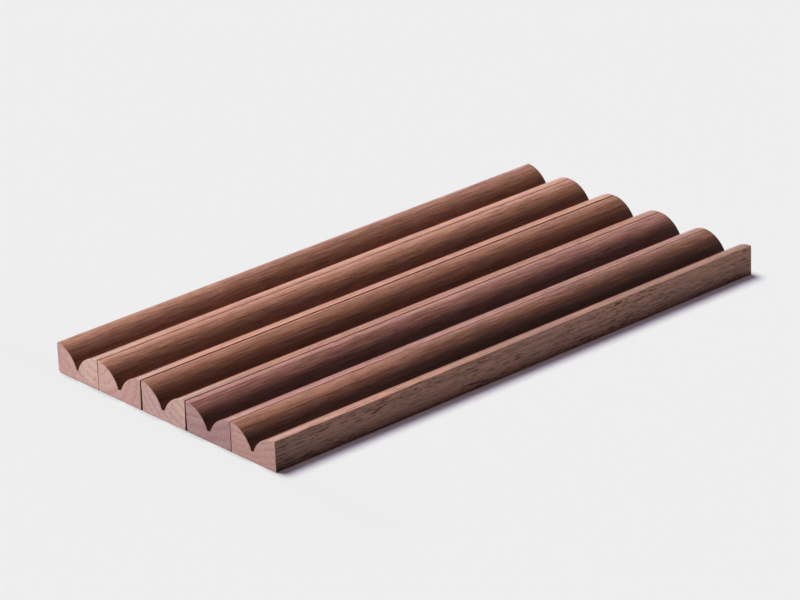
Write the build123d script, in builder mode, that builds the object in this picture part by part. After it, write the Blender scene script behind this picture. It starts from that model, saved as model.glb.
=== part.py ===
from build123d import *
import os

# A pen tray: a row of grooved walnut strips, which disc magnets in their sides hold to each other.
# Sizes are in millimetres. X runs across the row, Y along the grooves and Z up.
# The origin is on the surface that the tray stands on, under the middle of the row.

# The strips, from left to right
STRIP_LENGTH = 212.0
STRIP_HEIGHT = 10.5
STRIP_WIDTHS = (20.8, 21.6, 21.7, 21.7, 21.3)

# The groove of a strip lies between two round shoulders, which are level at its sides or close to them.
# A groove that is cut off centre lies this far to the right of its strip's middle
SHOULDER_RADIUS = 10.9
GROOVE_FLOOR = 3.4
GROOVE_SHIFTS = (-0.3, 0.0, -0.3, 0.15, -0.5)

# The open seams between the strips, from left to right, as wide as they are at the crest and at the foot
CREST_GAPS = (0.2, 0.5, 0.3, 0.15)
FOOT_GAPS = (0.05, 0.85, 0.8, 0.2)

# Eased edges
CREST_ROUND = 0.15
LEFT_FOOT_ROUNDS = (1.3, 0.3, 0.5, 0.9, 0.3)
RIGHT_FOOT_ROUND = 0.3
END_CHAMFER = 0.1

# The magnets, halfway up the strips' sides: the clearance is all round a magnet in its pocket, and the inset
# is from the strip's end to the magnet's middle
MAGNET_DIAMETER = 6.0
MAGNET_THICKNESS = 3.0
MAGNET_CHAMFER = 0.3
MAGNET_CLEARANCE = 0.1
MAGNET_INSET = 31.0

STRIPS = range(len(STRIP_WIDTHS))
SEAMS = range(len(CREST_GAPS))
ROW_WIDTH = sum(STRIP_WIDTHS) + sum(CREST_GAPS)
SHOULDER_CENTRE = STRIP_HEIGHT - SHOULDER_RADIUS
MAGNET_RISE = STRIP_HEIGHT / 2
MAGNET_REACH = STRIP_LENGTH / 2 - MAGNET_INSET


def left_crest(strip):
    """X of a strip's left side at its crest."""
    return sum(STRIP_WIDTHS[:strip]) + sum(CREST_GAPS[:strip]) - ROW_WIDTH / 2


def seam_middle(seam):
    """X of the plane midway between two strips, where their magnets meet."""
    return left_crest(seam + 1) - CREST_GAPS[seam] / 2


def foot_setback(seam):
    """How far a side lies further from its seam at the foot than at the crest. An outer side is upright."""
    if seam not in SEAMS:
        return 0.0
    return (FOOT_GAPS[seam] - CREST_GAPS[seam]) / 2


def magnet_faces(strip):
    """The outer faces of a strip's magnets, by name, as planes that look out of the strip at a seam."""
    faces = {}
    for side, seam, outward in (("left", strip - 1, -1), ("right", strip, 1)):
        if seam not in SEAMS:
            continue
        for end, y in (("front", -MAGNET_REACH), ("rear", MAGNET_REACH)):
            middle = (seam_middle(seam), y, MAGNET_RISE)
            faces[f"strip_{strip + 1}_{side}_{end}_magnet"] = Plane(origin=middle, z_dir=(outward, 0, 0))
    return faces


def make_strip(index, pockets):
    """One grooved strip, with a blind pocket for each of its magnets."""
    left = left_crest(index)
    right = left + STRIP_WIDTHS[index]
    left_foot = left + foot_setback(index - 1)
    right_foot = right - foot_setback(index)
    shift = GROOVE_SHIFTS[index]
    with BuildPart() as strip:
        with BuildSketch(Plane.XZ) as section:
            with Locations((left + shift, SHOULDER_CENTRE), (right + shift, SHOULDER_CENTRE)):
                Circle(SHOULDER_RADIUS)
            with Locations(((left + right) / 2, 0)):
                Rectangle(right - left, 2 * GROOVE_FLOOR)
            # The sides run on above the crest, where they meet no wood
            with BuildLine():
                Polyline(
                    (left_foot, 0),
                    (right_foot, 0),
                    (2 * right - right_foot, 2 * STRIP_HEIGHT),
                    (2 * left - left_foot, 2 * STRIP_HEIGHT),
                    close=True,
                )
            make_face(mode=Mode.INTERSECT)
            fillet(section.vertices().sort_by(Axis.Y)[-2:], CREST_ROUND)
            for corner, radius in ((0, LEFT_FOOT_ROUNDS[index]), (-1, RIGHT_FOOT_ROUND)):
                feet = section.vertices().group_by(Axis.Y)[0].sort_by(Axis.X)
                fillet(feet[corner], radius)
        extrude(amount=STRIP_LENGTH / 2, both=True)
        edges_along = strip.edges().group_by(Axis.Y)
        chamfer(edges_along[0] + edges_along[-1], END_CHAMFER)
        with Locations(*pockets):
            Hole(MAGNET_DIAMETER / 2 + MAGNET_CLEARANCE, MAGNET_THICKNESS)
    strip.part.label = f"strip_{index + 1}"
    export_step(strip.part, f"parts/{strip.part.label}.step")


def make_magnet(name, face):
    """One disc magnet, whose back seats on the floor of its pocket."""
    with BuildPart() as magnet:
        with BuildSketch(face):
            Circle(MAGNET_DIAMETER / 2)
        extrude(amount=-MAGNET_THICKNESS)
        chamfer(magnet.edges().filter_by(GeomType.CIRCLE), MAGNET_CHAMFER)
    magnet.part.label = name
    export_step(magnet.part, f"parts/{name}.step")


os.makedirs("parts", exist_ok=True)
for number in STRIPS:
    magnets = magnet_faces(number)
    make_strip(number, magnets.values())
    for magnet_name, magnet_face in magnets.items():
        make_magnet(magnet_name, magnet_face)
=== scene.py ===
import math
from dataclasses import dataclass

import bpy
from mathutils import Matrix, Vector


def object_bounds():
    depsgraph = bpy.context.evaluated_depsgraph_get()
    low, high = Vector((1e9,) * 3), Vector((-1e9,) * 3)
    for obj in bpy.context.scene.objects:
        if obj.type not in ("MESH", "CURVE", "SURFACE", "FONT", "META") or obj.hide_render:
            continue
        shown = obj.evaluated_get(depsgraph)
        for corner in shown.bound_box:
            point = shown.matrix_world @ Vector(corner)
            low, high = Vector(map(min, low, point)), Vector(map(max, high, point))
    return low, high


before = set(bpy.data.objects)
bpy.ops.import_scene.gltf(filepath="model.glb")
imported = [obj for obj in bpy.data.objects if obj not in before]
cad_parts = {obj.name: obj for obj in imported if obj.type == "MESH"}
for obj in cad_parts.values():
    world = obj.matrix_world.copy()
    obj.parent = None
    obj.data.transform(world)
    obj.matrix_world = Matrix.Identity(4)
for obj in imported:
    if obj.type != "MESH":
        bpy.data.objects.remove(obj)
CAD_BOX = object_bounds()

# A pen tray of five grooved walnut strips, which hold together by the magnets in their sides.
# The frame is in metres. The materials work in millimetres of the same frame.
MM = 0.001
QUARTER_TURN = math.radians(90.0)

# The camera looks at a point of the floor from the right of the row's front end
VIEW_TARGET = Vector((-16.25, 9.6, 0.0)) * MM
VIEW_DISTANCE = 1470.6 * MM
VIEW_AZIMUTH = math.radians(48.53)
VIEW_ELEVATION = math.radians(23.66)
VIEW_ROLL = math.radians(-2.05)
LENS = 197.4
SENSOR_WIDTH = 36.0

# The studio. A level is the share of the light at which a colour renders as it is written, on a level
# surface. A direction points from the tray to the lamp, and an angle is how wide the lamp looks from there.
# The softbox at the front left and the rim lamp behind light the tray. Three lamps light the floor, whose
# colours add up to white: the overhead lamp casts the shadow, the fill tints its edge, and the top lamp
# keeps some light in its darkest part
SOFTBOX_DIRECTION = (-1.2, -1.37, 1.0)
SOFTBOX_ANGLE = math.radians(30.0)
SOFTBOX_LEVEL = 0.85
RIM_DIRECTION = (-0.6, 0.6, 0.52)
RIM_ANGLE = math.radians(30.0)
RIM_LEVEL = 0.14
FLOOR_LEVEL = 0.95
OVERHEAD_DIRECTION = (-0.44, -0.05, 1.0)
OVERHEAD_ANGLE = math.radians(27.0)
FILL_DIRECTION = (-0.3, -0.02, 1.0)
FILL_ANGLE = math.radians(20.0)
FILL_COLOUR = (0.04, 0.0, 0.17)
TOP_DIRECTION = (0.0, 0.0, 1.0)
TOP_ANGLE = math.radians(4.0)
TOP_COLOUR = (0.084, 0.064, 0.072)
OVERHEAD_COLOUR = tuple(1.0 - fill - top for fill, top in zip(FILL_COLOUR, TOP_COLOUR))
WHITE_LIGHT = (1.0, 1.0, 1.0)
AMBIENT_LEVEL = 0.05
AMBIENT_TINT = (246, 240, 255)

# The floor is pale, and returns little light to the tray from close beside it
FLOOR_SIZE = 6.0
FLOOR_DROP = 0.02 * MM
PALE_GREY = (239, 239, 239)
CONTACT_GREY = (40, 40, 40)
CONTACT_WIDTH = 30.0 * MM
FLAG_GAP = 0.5 * MM
FLAG_REACH = 60.0 * MM
FLAG_BLACK = (10, 10, 10)

# What reflections show: a pale backdrop all round and a dim ceiling, which hangs lower on the right.
# Heights are sines of the elevation. The low part starts and is whole at these values of the direction's X
CEILING_GREY = (50, 50, 50)
BACKDROP_TOP = 0.62
CEILING_START = 0.7
LOW_BACKDROP_TOP = 0.15
LOW_CEILING_START = 0.35
LOW_PART_LEFT = -0.2
LOW_PART_RIGHT = 0.3

# The sRGB curve of screen colours, which is straight up to its foot
FULL_CHANNEL = 255
CURVE_FOOT = 0.04045
FOOT_SLOPE = 12.92
CURVE_OFFSET = 0.055
CURVE_POWER = 2.4


def linear(colour):
    """A colour from 0 to 255 per channel, as it looks on a screen, in linear light with alpha."""
    channels = []
    for channel in colour:
        share = channel / FULL_CHANNEL
        if share <= CURVE_FOOT:
            channels.append(share / FOOT_SLOPE)
        else:
            channels.append(((share + CURVE_OFFSET) / (1.0 + CURVE_OFFSET)) ** CURVE_POWER)
    return (*channels, 1.0)


class Graph:
    """Adds nodes to a node tree. An input is another node's output or a plain value."""

    def __init__(self, tree):
        self.tree = tree
        tree.nodes.clear()

    def feed(self, socket, value):
        if isinstance(value, bpy.types.NodeSocket):
            self.tree.links.new(value, socket)
        else:
            socket.default_value = value

    def add(self, kind, inputs=None, **settings):
        node = self.tree.nodes.new("ShaderNode" + kind)
        for name, value in settings.items():
            setattr(node, name, value)
        for name, value in (inputs or {}).items():
            self.feed(node.inputs[name], value)
        return node

    def math(self, operation, *values):
        node = self.add("Math", operation=operation)
        for socket, value in zip(node.inputs, values):
            self.feed(socket, value)
        return node.outputs[0]

    def vector(self, operation, *values):
        node = self.add("VectorMath", operation=operation)
        for socket, value in zip(node.inputs, values):
            self.feed(socket, value)
        return node.outputs["Value" if operation == "LENGTH" else "Vector"]

    def product(self, first, *others):
        result = first
        for other in others:
            result = self.math("MULTIPLY", result, other)
        return result

    def smooth(self, value, start, end, low=0.0, high=1.0):
        """A value that goes smoothly from low to high as the given one goes from start to end."""
        settings = {"Value": value, "From Min": start, "From Max": end, "To Min": low, "To Max": high}
        return self.add("MapRange", settings, interpolation_type="SMOOTHSTEP").outputs["Result"]

    def total(self, start, *terms):
        """A sum of values, each times its weight and measured from its middle, within 0 and 1."""
        result = start
        for value, middle, weight in terms:
            part = self.math("MULTIPLY_ADD", value, weight, -middle * weight)
            result = self.math("ADD", part, result)
        return self.math("MINIMUM", self.math("MAXIMUM", result, 0.0), 1.0)

    def mix(self, share, first, second, blend="MIX"):
        """Two colours, mixed by a share of the second."""
        node = self.add("Mix", data_type="RGBA", blend_type=blend)
        for name, value in (("Factor_Float", share), ("A_Color", first), ("B_Color", second)):
            self.feed(next(s for s in node.inputs if s.identifier == name), value)
        return next(s for s in node.outputs if s.identifier == "Result_Color")

    def noise(self, point, detail, roughness=0.5):
        settings = {"Vector": point, "Scale": 1.0, "Detail": detail, "Roughness": roughness}
        return self.add("TexNoise", settings).outputs

    def surface(self, kind, inputs):
        """Adds a shader and makes it the surface of the material."""
        shader = self.add(kind, inputs)
        self.add("OutputMaterial", {"Surface": shader.outputs[0]})


def new_material(name):
    material = bpy.data.materials.new(name)
    material.use_nodes = True
    return material


@dataclass
class Board:
    """The walnut of one strip: its colours, how much painted shade darkens it towards the far end and down
    in the groove, how polished its right shoulder is at the front, and its growth rings in millimetres."""

    pale: tuple
    dark: tuple
    end_tan: tuple
    end_pink: tuple
    far_shade_tone: float
    hollow_shade: float
    front_polish: float
    heart: tuple
    tan_reach: float
    ring_width: float
    slope: float
    seed: float


BOARDS = {
    "walnut_1": Board(
        pale=(210, 149, 124), dark=(154, 102, 82), end_tan=(196, 166, 156), end_pink=(182, 145, 141),
        far_shade_tone=0.06, hollow_shade=0.2, front_polish=1.0,
        heart=(-33, 13), tan_reach=12, ring_width=3.4, slope=0.012, seed=11,
    ),
    "walnut_2": Board(
        pale=(208, 145, 119), dark=(152, 100, 79), end_tan=(191, 158, 148), end_pink=(177, 140, 137),
        far_shade_tone=0.05, hollow_shade=0.35, front_polish=1.0,
        heart=(-33, 13), tan_reach=12, ring_width=3.4, slope=-0.009, seed=23,
    ),
    "walnut_3": Board(
        pale=(189, 128, 103), dark=(138, 88, 67), end_tan=(187, 157, 147), end_pink=(179, 147, 143),
        far_shade_tone=0.05, hollow_shade=0.35, front_polish=1.0,
        heart=(22, 30), tan_reach=28, ring_width=2.8, slope=0.015, seed=35,
    ),
    "walnut_4": Board(
        pale=(191, 130, 117), dark=(130, 81, 67), end_tan=(159, 128, 125), end_pink=(151, 118, 121),
        far_shade_tone=0.05, hollow_shade=0.53, front_polish=0.35,
        heart=(10, 40), tan_reach=36, ring_width=3.4, slope=-0.014, seed=41,
    ),
    # Strip 5 gets the most painted shade towards its far end
    "walnut_5": Board(
        pale=(200, 138, 113), dark=(134, 86, 68), end_tan=(172, 137, 130), end_pink=(163, 128, 124),
        far_shade_tone=0.55, hollow_shade=0.57, front_polish=0.8,
        heart=(30, 80), tan_reach=75, ring_width=2.3, slope=0.01, seed=59,
    ),
}
SEED_STEP = 100.0


@dataclass
class Pattern:
    """The size of a pattern across and along the grain, in millimetres, and its noise."""

    across: float
    along: float
    detail: float = 3.0
    roughness: float = 0.5


RING_BEND = Pattern(25.0, 90.0, detail=1.0)
RING_BEND_REACH = 5.0
RING_RIPPLE = Pattern(1.6, 30.0)
RING_RIPPLE_REACH = 0.7
STREAKS = Pattern(3.0, 160.0)
LINES = Pattern(1.0, 200.0, detail=2.0)
FIBRES = Pattern(0.9, 30.0, roughness=0.65)
FINE_FIBRES = Pattern(0.4, 9.0, detail=2.0, roughness=0.6)
TINT_PATCHES = Pattern(6.0, 45.0, detail=1.0)
MOTTLE = Pattern(1.0, 30.0, roughness=0.6)
TAN_FADE = 2.5
PORE_CROWDS = Pattern(5.0, 40.0, detail=1.0)
LONG_PORES = Pattern(0.85, 8.0)
SHORT_PORES = Pattern(0.55, 4.0)

# Ranges: a share goes from 0 at the first value to 1 at the second. These are of Y and Z, in millimetres
# The part of the strip along which painted shade darkens the upper faces towards the far end
FAR_SHADE_PART = (-70.0, 0.0)
FRONT_PART = (-72.0, -106.0)
# The heights between which painted shade darkens the faces down in the groove
HOLLOW_SHADE_HEIGHTS = (10.3, 6.3)

# Ranges of a ring's age and of noises
LATE_WOOD_RISE = (0.25, 0.93)
LATE_WOOD_FALL = (1.0, 0.94)
PATCH_EDGE = (0.35, 0.65)
LINE_EDGE = (0.52, 0.66)
CROWD_EDGE = (0.35, 0.6)

# Ranges of a face's normal, whose X is to the right, Y to the back and Z up
FACES_UP = (0.15, 0.35)
# Which faces get the painted shade that makes what faces left darker and browner
LEFT_SHADE_FACING = (-0.28, -0.85)
UPRIGHT_SIDE = (0.9, 0.99)
END_FACE = (0.45, 0.7)
# Which faces get the painted highlight that makes the left crest paler
CREST_HIGHLIGHT_RISE = (-0.05, 0.04)
CREST_HIGHLIGHT_FALL = (0.22, 0.09)
SHOULDER_RISE = (0.0, -0.1)
SHOULDER_FALL = (-0.5, -0.4)

# How far the faces are from the pale to the dark colour of the board. Each pattern adds how much it differs
# from its middle value, which comes first, times its weight
FACE_TONE = 0.45
LATE_WOOD_TONE = (0.4, 0.2)
RING_TONE = (0.5, 0.15)
STREAK_TONE = (0.5, 0.8)
LINE_TONE = (0.2, 0.5)
FIBRE_TONE = (0.5, 1.0)
FINE_FIBRE_TONE = (0.5, 2.8)
# A painted highlight: the left crest goes towards the pale colour
CREST_HIGHLIGHT_TONE = (0.0, -0.35)

# How far the ends are from tan to pink, and then from that to the dark colour
END_PINK = 0.5
OUTER_PINK = (0.5, 0.9)
RING_PINK = (0.5, 0.3)
PATCH_PINK = (0.5, 0.3)
MOTTLE_PINK = (0.5, 1.2)
END_TONE = 0.08
END_LATE_WOOD_TONE = (0.3, 0.3)
END_MOTTLE_TONE = (0.5, 1.5)

# The tint of the painted shade on what faces left, the tints of the patches, and the colour of the painted
# shade that the depth of the groove goes towards
LEFT_SHADE_TINT = (193, 204, 207)
PINK_TINT = (255, 250, 254)
TAN_TINT = (255, 252, 247)
GROOVE_SHADE_COLOUR = (84, 76, 78)

# The pores: the share of the cells that has one, how far it reaches in its cell, and how much it shows
PORE_COLOUR = (78, 34, 20)
LONG_PORE_SHARE = 0.75
SHORT_PORE_SHARE = 0.6
PORE_REACH = 0.3
PORE_CORE = 0.75
FEWEST_PORES = 0.3
PORE_ON_WALLS = 0.35
PORE_ON_SIDES = 0.8
PORE_ON_ENDS = 0.3

# The finish of the wood
FACE_ROUGHNESS = 0.22
END_ROUGHNESS = 0.65
FIBRE_ROUGHNESS = 0.2
PORE_ROUGHNESS = 0.6
POLISH_ROUGHNESS = 0.1
FIBRE_RELIEF = 0.35
BUMP_STRENGTH = 0.35
BUMP_DEPTH = 0.06 * MM


class WoodGraph(Graph):
    """The nodes of one board, whose grain runs along Y."""

    def __init__(self, tree, board):
        super().__init__(tree)
        self.board = board
        coordinates = self.add("TexCoord").outputs
        self.place = self.vector("MULTIPLY", coordinates["Object"], (1 / MM,) * 3)
        axes = self.add("SeparateXYZ", {"Vector": self.place}).outputs
        self.along = axes["Y"]
        self.height = axes["Z"]
        self.sample = self.vector("ADD", self.place, (0.0, board.seed * SEED_STEP, 0.0))
        normal = self.add("SeparateXYZ", {"Vector": coordinates["Normal"]}).outputs
        self.facing = normal["X"]
        self.faces_up = self.smooth(normal["Z"], *FACES_UP)
        self.end_share = self.smooth(self.math("ABSOLUTE", normal["Y"]), *END_FACE)
        self.late_wood, self.ring_shade, self.from_heart = self.growth_rings()
        self.fibres = self.grain(FIBRES)["Fac"]
        self.patches = self.smooth(self.grain(TINT_PATCHES)["Fac"], *PATCH_EDGE)

    def stretched(self, pattern):
        """Coordinates for a pattern of this size across and along the grain."""
        shrink = (1 / pattern.across, 1 / pattern.along, 1 / pattern.across)
        return self.vector("MULTIPLY", self.sample, shrink)

    def grain(self, pattern):
        return self.noise(self.stretched(pattern), pattern.detail, pattern.roughness)

    def growth_rings(self):
        """The late wood at the end of each growth ring, a shade that each ring has of its own, and the
        distance from the tree's heart."""
        board = self.board
        reach = RING_BEND_REACH
        middle = (-board.heart[0] - reach / 2, 0.0, -board.heart[1] - reach / 2)
        bend = self.vector("MULTIPLY_ADD", self.grain(RING_BEND)["Color"], (reach,) * 3, middle)
        ripple = self.grain(RING_RIPPLE)["Color"]
        bend = self.vector("MULTIPLY_ADD", ripple, (RING_RIPPLE_REACH,) * 3, bend)
        turned = self.add("Mapping", {"Vector": self.place, "Rotation": (0.0, 0.0, board.slope)}).outputs[0]
        from_heart = self.vector("MULTIPLY", self.vector("ADD", turned, bend), (1.0, 0.0, 1.0))
        distance = self.vector("LENGTH", from_heart)
        count = self.math("DIVIDE", distance, board.ring_width)
        age = self.math("FRACT", count)
        late_wood = self.product(self.smooth(age, *LATE_WOOD_RISE), self.smooth(age, *LATE_WOOD_FALL))
        ring = self.math("FLOOR", count)
        shade = self.add("TexWhiteNoise", {"W": ring}, noise_dimensions="1D").outputs["Value"]
        return late_wood, shade, distance

    def face_colour(self):
        """The faces along the grain, with a painted highlight that makes the left crest paler, painted
        shade that makes what faces left darker and browner, and painted shade down in the groove."""
        board = self.board
        lines = self.product(self.faces_up, self.smooth(self.grain(LINES)["Fac"], *LINE_EDGE))
        # Painted shade that darkens the upper faces towards the far end
        painted_far_shade = self.product(self.faces_up, self.smooth(self.along, *FAR_SHADE_PART))
        # A painted highlight on the left crest
        painted_crest_highlight = self.product(self.smooth(self.facing, *CREST_HIGHLIGHT_RISE), self.smooth(self.facing, *CREST_HIGHLIGHT_FALL))
        tone = self.total(
            FACE_TONE,
            (self.late_wood, *LATE_WOOD_TONE),
            (self.ring_shade, *RING_TONE),
            (self.grain(STREAKS)["Fac"], *STREAK_TONE),
            (lines, *LINE_TONE),
            (self.fibres, *FIBRE_TONE),
            (self.grain(FINE_FIBRES)["Fac"], *FINE_FIBRE_TONE),
            (painted_far_shade, 0.0, board.far_shade_tone),
            (painted_crest_highlight, *CREST_HIGHLIGHT_TONE),
        )
        colour = self.mix(tone, linear(board.pale), linear(board.dark))
        tint = self.mix(self.patches, linear(PINK_TINT), linear(TAN_TINT))
        colour = self.mix(1.0, colour, tint, "MULTIPLY")
        # Painted shade: what faces left is darker and browner
        painted_left_shade = self.smooth(self.facing, *LEFT_SHADE_FACING)
        colour = self.mix(painted_left_shade, colour, linear(LEFT_SHADE_TINT), "MULTIPLY")
        # Painted shade: the faces get darker down in the groove
        painted_groove_shade = self.product(self.faces_up, self.smooth(self.height, *HOLLOW_SHADE_HEIGHTS), board.hollow_shade)
        return self.mix(painted_groove_shade, colour, linear(GROOVE_SHADE_COLOUR))

    def end_colour(self):
        """The paler ends, with the rings as arcs and a mottle of tan and pink."""
        board = self.board
        mottle = self.grain(MOTTLE)
        hue = self.add("SeparateColor", {"Color": mottle["Color"]}).outputs["Blue"]
        outer = self.smooth(self.from_heart, board.tan_reach - TAN_FADE, board.tan_reach + TAN_FADE)
        pink_share = self.total(
            END_PINK,
            (outer, *OUTER_PINK),
            (self.ring_shade, *RING_PINK),
            (self.patches, *PATCH_PINK),
            (hue, *MOTTLE_PINK),
        )
        colour = self.mix(pink_share, linear(board.end_tan), linear(board.end_pink))
        tone = self.total(
            END_TONE,
            (self.late_wood, *END_LATE_WOOD_TONE),
            (mottle["Fac"], *END_MOTTLE_TONE),
        )
        return self.mix(tone, colour, linear(board.dark))

    def dashes(self, pattern, share):
        """Short dashes along the grain, which an end of the strip cuts to dots. A share of the cells has
        one."""
        cells = self.add("TexVoronoi", {"Vector": self.stretched(pattern), "Scale": 1.0}).outputs
        pick = self.add("SeparateColor", {"Color": cells["Color"]}).outputs["Red"]
        dash = self.smooth(cells["Distance"], PORE_REACH, PORE_REACH * PORE_CORE)
        return self.product(dash, self.math("LESS_THAN", pick, share))

    def pores(self):
        """The pores of both sizes, and how dark they are, which is most on the upright sides."""
        long_pores = self.dashes(LONG_PORES, LONG_PORE_SHARE)
        short_pores = self.dashes(SHORT_PORES, SHORT_PORE_SHARE)
        pore = self.math("MAXIMUM", long_pores, short_pores)
        crowding = self.smooth(self.grain(PORE_CROWDS)["Fac"], *CROWD_EDGE, FEWEST_PORES, 1.0)
        sideways = self.math("ABSOLUTE", self.facing)
        on_faces = self.smooth(sideways, *UPRIGHT_SIDE, PORE_ON_WALLS, PORE_ON_SIDES)
        strength = self.smooth(self.end_share, 0.0, 1.0, on_faces, PORE_ON_ENDS)
        return pore, self.product(pore, crowding, strength)

    def polish(self):
        """The polish of the right shoulder, which fades along the strip from its front end."""
        front = self.smooth(self.along, *FRONT_PART)
        rise = self.smooth(self.facing, *SHOULDER_RISE)
        shoulder = self.product(rise, self.smooth(self.facing, *SHOULDER_FALL))
        return self.product(front, shoulder, self.board.front_polish)


def walnut_material(name, board):
    """Oiled walnut, with the grain along the strip and its end grain on the two ends."""
    material = new_material(name)
    graph = WoodGraph(material.node_tree, board)
    pore, depth = graph.pores()
    colour = graph.mix(graph.end_share, graph.face_colour(), graph.end_colour())
    relief = graph.math("SUBTRACT", graph.product(graph.fibres, FIBRE_RELIEF), pore)
    bump = graph.add("Bump", {"Strength": BUMP_STRENGTH, "Distance": BUMP_DEPTH, "Height": relief})
    roughness = graph.smooth(graph.end_share, 0.0, 1.0, FACE_ROUGHNESS, END_ROUGHNESS)
    roughness = graph.math("MULTIPLY_ADD", graph.fibres, FIBRE_ROUGHNESS, roughness)
    wood = {
        "Base Color": graph.mix(depth, colour, linear(PORE_COLOUR)),
        "Roughness": graph.math("MULTIPLY_ADD", depth, PORE_ROUGHNESS, roughness),
        "Normal": bump.outputs[0],
        "Coat Weight": graph.polish(),
        "Coat Roughness": POLISH_ROUGHNESS,
    }
    graph.surface("BsdfPrincipled", wood)
    return material


# The magnets' plating. The marks are this many times finer than a millimetre along X, Y and Z
NICKEL = (206, 202, 194)
DULL_NICKEL = (178, 172, 163)
DULL_DETAIL = 3.0
DULL_EDGE = (0.35, 0.7)
MARK_DETAIL = 2.0
MARK_FINENESS = (0.4, 9.0, 1.2)
NICKEL_ROUGHNESS = 0.12
MARK_ROUGHNESS = 0.12
DULL_ROUGHNESS = 0.14
MARK_STRENGTH = 0.15
MARK_DEPTH = 0.01 * MM


def nickel_material():
    """Plated magnets, with fine marks and a few dull spots."""
    material = new_material("nickel_plate")
    graph = Graph(material.node_tree)
    place = graph.vector("MULTIPLY", graph.add("TexCoord").outputs["Object"], (1 / MM,) * 3)
    dull = graph.smooth(graph.noise(place, DULL_DETAIL)["Fac"], *DULL_EDGE)
    marks = graph.noise(graph.vector("MULTIPLY", place, MARK_FINENESS), MARK_DETAIL)["Fac"]
    bump = graph.add("Bump", {"Strength": MARK_STRENGTH, "Distance": MARK_DEPTH, "Height": marks})
    roughness = graph.math("MULTIPLY_ADD", marks, MARK_ROUGHNESS, NICKEL_ROUGHNESS)
    metal = {
        "Base Color": graph.mix(dull, linear(NICKEL), linear(DULL_NICKEL)),
        "Metallic": 1.0,
        "Roughness": graph.math("MULTIPLY_ADD", dull, DULL_ROUGHNESS, roughness),
        "Normal": bump.outputs[0],
    }
    graph.surface("BsdfPrincipled", metal)
    return material


def finish_node(node, material):
    node.data.materials.clear()
    node.data.materials.append(material)


def finish_tray():
    """Gives each strip the look of its own board, and the magnets one plating."""
    nickel = nickel_material()
    for number, (slot, board) in enumerate(BOARDS.items(), start=1):
        wood = walnut_material(slot, board)
        strip = f"strip_{number}"
        for name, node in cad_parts.items():
            if name == strip:
                finish_node(node, wood)
            elif name.startswith(strip) and name.endswith("magnet"):
                finish_node(node, nickel)


def shown_rays(graph, in_reflections=True):
    """1 for a ray that shows the background, straight or in a reflection, and 0 for one that lights."""
    path = graph.add("LightPath").outputs
    seen = graph.math("MAXIMUM", path["Is Camera Ray"], path["Is Transmission Ray"])
    if in_reflections:
        seen = graph.math("MAXIMUM", seen, path["Is Glossy Ray"])
    return seen


def beside_tray(graph):
    """How far a point of the floor lies outside the tray's outline."""
    half_size = (Vector(CAD_BOX[1]) - Vector(CAD_BOX[0])) / 2
    place = graph.add("SeparateXYZ", {"Vector": graph.add("TexCoord").outputs["Object"]}).outputs
    across = graph.math("SUBTRACT", graph.math("ABSOLUTE", place["X"]), half_size.x)
    along = graph.math("SUBTRACT", graph.math("ABSOLUTE", place["Y"]), half_size.y)
    return graph.math("MAXIMUM", across, along)


def make_floor():
    bpy.ops.mesh.primitive_plane_add(size=FLOOR_SIZE, location=(0.0, 0.0, -FLOOR_DROP))
    floor = bpy.context.object
    floor.name = "floor"
    material = new_material("floor_paper")
    graph = Graph(material.node_tree)
    away = graph.smooth(beside_tray(graph), 0.0, CONTACT_WIDTH)
    bounce = graph.mix(away, linear(CONTACT_GREY), linear(PALE_GREY))
    colour = graph.mix(shown_rays(graph), bounce, linear(PALE_GREY))
    graph.surface("BsdfDiffuse", {"Color": colour})
    floor.data.materials.append(material)
    return floor


def make_flags():
    """Black cards close to the front and the left, which keep the light that the lit faces return off the
    floor. They aren't seen and cast no shadow."""
    material = new_material("flag_cloth")
    Graph(material.node_tree).surface("BsdfDiffuse", {"Color": linear(FLAG_BLACK)})
    low, high = Vector(CAD_BOX[0]), Vector(CAD_BOX[1])
    middle = (low + high) / 2
    size = high - low
    for name, x, y, length, turn in (
        ("front_flag", middle.x, low.y - FLAG_GAP, size.x + 2 * FLAG_REACH, 0.0),
        ("left_flag", low.x - FLAG_GAP, middle.y, size.y, QUARTER_TURN),
    ):
        upright = (QUARTER_TURN, 0.0, turn)
        bpy.ops.mesh.primitive_plane_add(size=1.0, location=(x, y, middle.z), rotation=upright)
        flag = bpy.context.object
        flag.name = name
        flag.scale = (length, size.z, 1.0)
        flag.visible_camera = False
        flag.visible_glossy = False
        flag.visible_transmission = False
        flag.visible_shadow = False
        flag.data.materials.append(material)


def make_lamp(name, direction, angle, level, lit_objects, colour=WHITE_LIGHT):
    """A wide far lamp that lights only the given objects. Its glare is left out, as through a polarising
    filter."""
    towards = Vector(direction).normalized()
    data = bpy.data.lights.new(name, "SUN")
    data.energy = level * math.pi / towards.z
    data.color = colour
    data.angle = angle
    lamp = bpy.data.objects.new(name, data)
    lamp.rotation_euler = towards.to_track_quat("Z", "Y").to_euler()
    lamp.visible_glossy = False
    bpy.context.scene.collection.objects.link(lamp)
    lit = bpy.data.collections.new(name + "_lights")
    for lit_object in lit_objects:
        lit.objects.link(lit_object)
    lamp.light_linking.receiver_collection = lit


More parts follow.
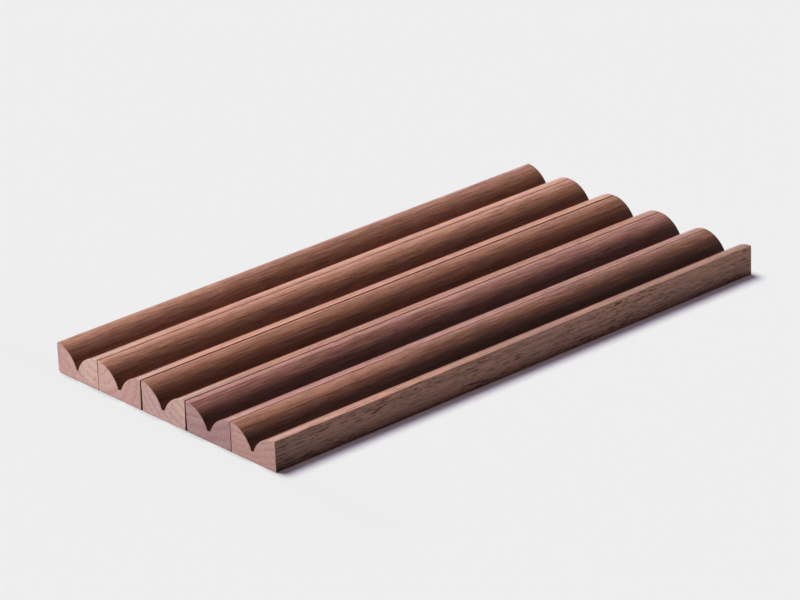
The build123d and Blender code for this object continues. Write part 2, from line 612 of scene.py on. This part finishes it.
def make_world():
    """Pale where it is seen, the backdrop and ceiling in reflections, and a faint tint as light."""
    world = bpy.data.worlds.new("studio")
    world.use_nodes = True
    bpy.context.scene.world = world
    graph = Graph(world.node_tree)
    towards = graph.add("SeparateXYZ", {"Vector": graph.add("TexCoord").outputs["Generated"]}).outputs
    ceiling = graph.smooth(towards["Z"], BACKDROP_TOP, CEILING_START)
    low_ceiling = graph.smooth(towards["Z"], LOW_BACKDROP_TOP, LOW_CEILING_START)
    low_part = graph.product(low_ceiling, graph.smooth(towards["X"], LOW_PART_LEFT, LOW_PART_RIGHT))
    dim = graph.math("MAXIMUM", ceiling, low_part)
    reflected = graph.mix(dim, linear(PALE_GREY), linear(CEILING_GREY))
    colour = graph.mix(shown_rays(graph, in_reflections=False), reflected, linear(PALE_GREY))
    seen = graph.add("Background", {"Color": colour, "Strength": 1.0})
    around = graph.add("Background", {"Color": linear(AMBIENT_TINT), "Strength": AMBIENT_LEVEL})
    both = graph.add("MixShader", {0: shown_rays(graph), 1: around.outputs[0], 2: seen.outputs[0]})
    graph.add("OutputWorld", {"Surface": both.outputs[0]})


def make_camera():
    level = Vector((math.cos(VIEW_AZIMUTH), math.sin(VIEW_AZIMUTH), 0.0))
    ahead = Vector((-level.y, level.x, 0.0))
    back = math.sin(VIEW_ELEVATION) * Vector((0, 0, 1)) - math.cos(VIEW_ELEVATION) * ahead
    turn = Matrix((level, back.cross(level), back)).transposed().to_4x4()
    data = bpy.data.cameras.new("camera")
    data.lens = LENS
    data.sensor_width = SENSOR_WIDTH
    camera = bpy.data.objects.new("camera", data)
    place = Matrix.Translation(VIEW_TARGET + back * VIEW_DISTANCE)
    camera.matrix_world = place @ turn @ Matrix.Rotation(VIEW_ROLL, 4, "Z")
    bpy.context.scene.collection.objects.link(camera)
    bpy.context.scene.camera = camera


finish_tray()
floor = make_floor()
make_flags()
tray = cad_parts.values()
make_lamp("softbox", SOFTBOX_DIRECTION, SOFTBOX_ANGLE, SOFTBOX_LEVEL, tray)
make_lamp("rim", RIM_DIRECTION, RIM_ANGLE, RIM_LEVEL, tray)
make_lamp("overhead", OVERHEAD_DIRECTION, OVERHEAD_ANGLE, FLOOR_LEVEL, [floor], OVERHEAD_COLOUR)
make_lamp("floor_fill", FILL_DIRECTION, FILL_ANGLE, FLOOR_LEVEL, [floor], FILL_COLOUR)
make_lamp("floor_top", TOP_DIRECTION, TOP_ANGLE, FLOOR_LEVEL, [floor], TOP_COLOUR)
make_world()
make_camera()
bpy.context.scene.view_settings.view_transform = "Standard"
